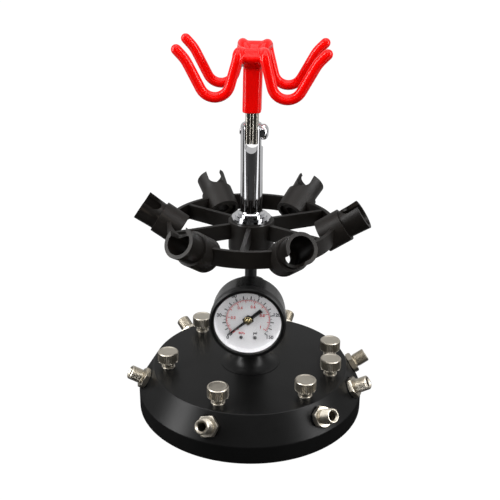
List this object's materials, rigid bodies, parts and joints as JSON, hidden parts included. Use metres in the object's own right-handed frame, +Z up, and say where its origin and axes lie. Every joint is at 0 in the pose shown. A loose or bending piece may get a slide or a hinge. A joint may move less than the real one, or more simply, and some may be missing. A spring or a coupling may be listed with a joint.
{
  "type": "airbrush holder stand with air manifold",
  "caption": "Airbrush holder stand: round base that is an air manifold with needle valves and a pressure gauge, turning carousel of tilted cups, and a tilting coated hook on a fork post.",
  "frame": {"origin": "centre of the base on the table it stands on, under the rubber feet", "axes": "+Z up along the column; -Y is the front, where the gauge faces; +X is to the right"},
  "size_m": [0.1688, 0.1644, 0.2515],
  "materials": {
    "black_enamel": "satin black enamel on a turned casting",
    "black_steel": "black coated steel",
    "gasket_rubber": "matte",
    "foot_rubber": "matte",
    "zinc_steel": "zinc plated",
    "nickel": "satin nickel plate on brass",
    "brass": "turned brass",
    "gauge_black": "gloss black",
    "lens_glass": "clear flat glass",
    "dial_white": "white printed dial",
    "pointer_black": "matte black",
    "washer_nylon": "natural nylon",
    "chrome_bright": "polished chrome",
    "carousel_plastic": "fine moulded texture",
    "cup_plastic": "fine moulded texture",
    "wire_steel": "nickel plated wire",
    "red_vinyl": "glossy dipped vinyl"
  },
  "bodies": {
    "stand": {"manifold_body": "black_enamel", "base_gasket": "gasket_rubber", "base_plate": "black_steel", "base_screws": "zinc_steel", "rubber_feet": "foot_rubber", "column": "black_enamel", "column_nut": "zinc_steel", "column_washer": "zinc_steel", "column_o_ring": "gasket_rubber", "valve_bonnets": "nickel", "valve_o_rings": "gasket_rubber", "outlet_fitting_1": "nickel", "outlet_fitting_2": "nickel", "outlet_fitting_3": "nickel", "outlet_fitting_4": "nickel", "outlet_fitting_5": "nickel", "outlet_fitting_6": "nickel", "inlet_fitting": "nickel", "fitting_seals": "gasket_rubber", "gauge_case": "gauge_black", "gauge_bezel": "gauge_black", "gauge_lens": "lens_glass", "gauge_dial": "dial_white", "dial_screws": "zinc_steel", "gauge_connector": "brass", "bourdon_tube": "brass", "movement_frame": "brass", "pillar_rod": "black_steel", "hub_clip": "zinc_steel", "thrust_washer": "washer_nylon", "hub_washer": "chrome_bright", "fork_post": "chrome_bright", "clamp_screw": "chrome_bright"},
    "valve_1_stem": {"valve_stem_1": "brass"},
    "valve_1_knob": {"valve_knob_1": "nickel"},
    "valve_2_stem": {"valve_stem_2": "brass"},
    "valve_2_knob": {"valve_knob_2": "nickel"},
    "valve_3_stem": {"valve_stem_3": "brass"},
    "valve_3_knob": {"valve_knob_3": "nickel"},
    "valve_4_stem": {"valve_stem_4": "brass"},
    "valve_4_knob": {"valve_knob_4": "nickel"},
    "valve_5_stem": {"valve_stem_5": "brass"},
    "valve_5_knob": {"valve_knob_5": "nickel"},
    "valve_6_stem": {"valve_stem_6": "brass"},
    "valve_6_knob": {"valve_knob_6": "nickel"},
    "valve_7_stem": {"valve_stem_7": "brass"},
    "valve_7_knob": {"valve_knob_7": "nickel"},
    "pointer": {"gauge_pointer": "pointer_black", "pointer_arbor": "brass"},
    "sector": {"sector_gear": "brass"},
    "carousel": {"carousel_frame": "carousel_plastic", "cup_sleeves": "carousel_plastic"},
    "cup_1": {"cup_1": "cup_plastic"},
    "cup_2": {"cup_2": "cup_plastic"},
    "cup_3": {"cup_3": "cup_plastic"},
    "cup_4": {"cup_4": "cup_plastic"},
    "cup_5": {"cup_5": "cup_plastic"},
    "cup_6": {"cup_6": "cup_plastic"},
    "hook": {"hook_rods": "wire_steel", "hook_coating": "red_vinyl"}
  },
  "joints": [
    {"name": "valve_1_rise", "type": "slide", "parent": "stand", "child": "valve_1_stem", "axis": [0, 0, 1], "range_m": [0, 0.0016]},
    {"name": "valve_1_turn", "type": "hinge", "parent": "valve_1_stem", "child": "valve_1_knob", "pos_m": [0.05605, 0.01191, 0.0345], "axis": [0, 0, 1], "range_deg": [0, 720]},
    {"name": "valve_2_rise", "type": "slide", "parent": "stand", "child": "valve_2_stem", "axis": [0, 0, 1], "range_m": [0, 0.0016]},
    {"name": "valve_2_turn", "type": "hinge", "parent": "valve_2_stem", "child": "valve_2_knob", "pos_m": [0.01771, 0.0545, 0.0345], "axis": [0, 0, 1], "range_deg": [0, 720]},
    {"name": "valve_3_rise", "type": "slide", "parent": "stand", "child": "valve_3_stem", "axis": [0, 0, 1], "range_m": [0, 0.0016]},
    {"name": "valve_3_turn", "type": "hinge", "parent": "valve_3_stem", "child": "valve_3_knob", "pos_m": [-0.03834, 0.04258, 0.0345], "axis": [0, 0, 1], "range_deg": [0, 720]},
    {"name": "valve_4_rise", "type": "slide", "parent": "stand", "child": "valve_4_stem", "axis": [0, 0, 1], "range_m": [0, 0.0016]},
    {"name": "valve_4_turn", "type": "hinge", "parent": "valve_4_stem", "child": "valve_4_knob", "pos_m": [-0.05605, -0.01191, 0.0345], "axis": [0, 0, 1], "range_deg": [0, 720]},
    {"name": "valve_5_rise", "type": "slide", "parent": "stand", "child": "valve_5_stem", "axis": [0, 0, 1], "range_m": [0, 0.0016]},
    {"name": "valve_5_turn", "type": "hinge", "parent": "valve_5_stem", "child": "valve_5_knob", "pos_m": [-0.01771, -0.0545, 0.0345], "axis": [0, 0, 1], "range_deg": [0, 720]},
    {"name": "valve_6_rise", "type": "slide", "parent": "stand", "child": "valve_6_stem", "axis": [0, 0, 1], "range_m": [0, 0.0016]},
    {"name": "valve_6_turn", "type": "hinge", "parent": "valve_6_stem", "child": "valve_6_knob", "pos_m": [0.03834, -0.04258, 0.0345], "axis": [0, 0, 1], "range_deg": [0, 720]},
    {"name": "valve_7_rise", "type": "slide", "parent": "stand", "child": "valve_7_stem", "axis": [0, 0, 1], "range_m": [0, 0.0016]},
    {"name": "valve_7_turn", "type": "hinge", "parent": "valve_7_stem", "child": "valve_7_knob", "pos_m": [0.0556, -0.01386, 0.0345], "axis": [0, 0, 1], "range_deg": [0, 720]},
    {"name": "pointer_sweep", "type": "hinge", "parent": "stand", "child": "pointer", "pos_m": [0, -0.0324, 0.0784], "axis": [0, 1, 0], "range_deg": [-5, 262]},
    {"name": "sector_swing", "type": "hinge", "parent": "stand", "child": "sector", "pos_m": [0, -0.0234, 0.0648], "axis": [0, 1, 0], "range_deg": [-33, 1]},
    {"name": "carousel_turn", "type": "hinge", "parent": "stand", "child": "carousel", "pos_m": [0, 0, 0.1254], "axis": [0, 0, 1], "continuous": true},
    {"name": "cup_1_turn", "type": "hinge", "parent": "carousel", "child": "cup_1", "pos_m": [0.05413, -0.00284, 0.13125], "axis": [0.8327, -0.0436, 0.5519], "continuous": true},
    {"name": "cup_2_turn", "type": "hinge", "parent": "carousel", "child": "cup_2", "pos_m": [0.02952, 0.04546, 0.13125], "axis": [0.4542, 0.6994, 0.5519], "continuous": true},
    {"name": "cup_3_turn", "type": "hinge", "parent": "carousel", "child": "cup_3", "pos_m": [-0.02461, 0.04829, 0.13125], "axis": [-0.3786, 0.743, 0.5519], "continuous": true},
    {"name": "cup_4_turn", "type": "hinge", "parent": "carousel", "child": "cup_4", "pos_m": [-0.05413, 0.00284, 0.13125], "axis": [-0.8327, 0.0436, 0.5519], "continuous": true},
    {"name": "cup_5_turn", "type": "hinge", "parent": "carousel", "child": "cup_5", "pos_m": [-0.02952, -0.04546, 0.13125], "axis": [-0.4542, -0.6994, 0.5519], "continuous": true},
    {"name": "cup_6_turn", "type": "hinge", "parent": "carousel", "child": "cup_6", "pos_m": [0.02461, -0.04829, 0.13125], "axis": [0.3786, -0.743, 0.5519], "continuous": true},
    {"name": "hook_tilt", "type": "hinge", "parent": "stand", "child": "hook", "pos_m": [0, 0, 0.1952], "axis": [1, 0, 0], "range_deg": [-90, 90]}
  ],
  "couplings": [
    {"joint": "valve_1_rise", "follows": "valve_1_turn", "m_per_rad": 0.00011937},
    {"joint": "valve_2_rise", "follows": "valve_2_turn", "m_per_rad": 0.00011937},
    {"joint": "valve_3_rise", "follows": "valve_3_turn", "m_per_rad": 0.00011937},
    {"joint": "valve_4_rise", "follows": "valve_4_turn", "m_per_rad": 0.00011937},
    {"joint": "valve_5_rise", "follows": "valve_5_turn", "m_per_rad": 0.00011937},
    {"joint": "valve_6_rise", "follows": "valve_6_turn", "m_per_rad": 0.00011937},
    {"joint": "valve_7_rise", "follows": "valve_7_turn", "m_per_rad": 0.00011937},
    {"joint": "sector_swing", "follows": "pointer_sweep", "ratio": -0.125}
  ]
}
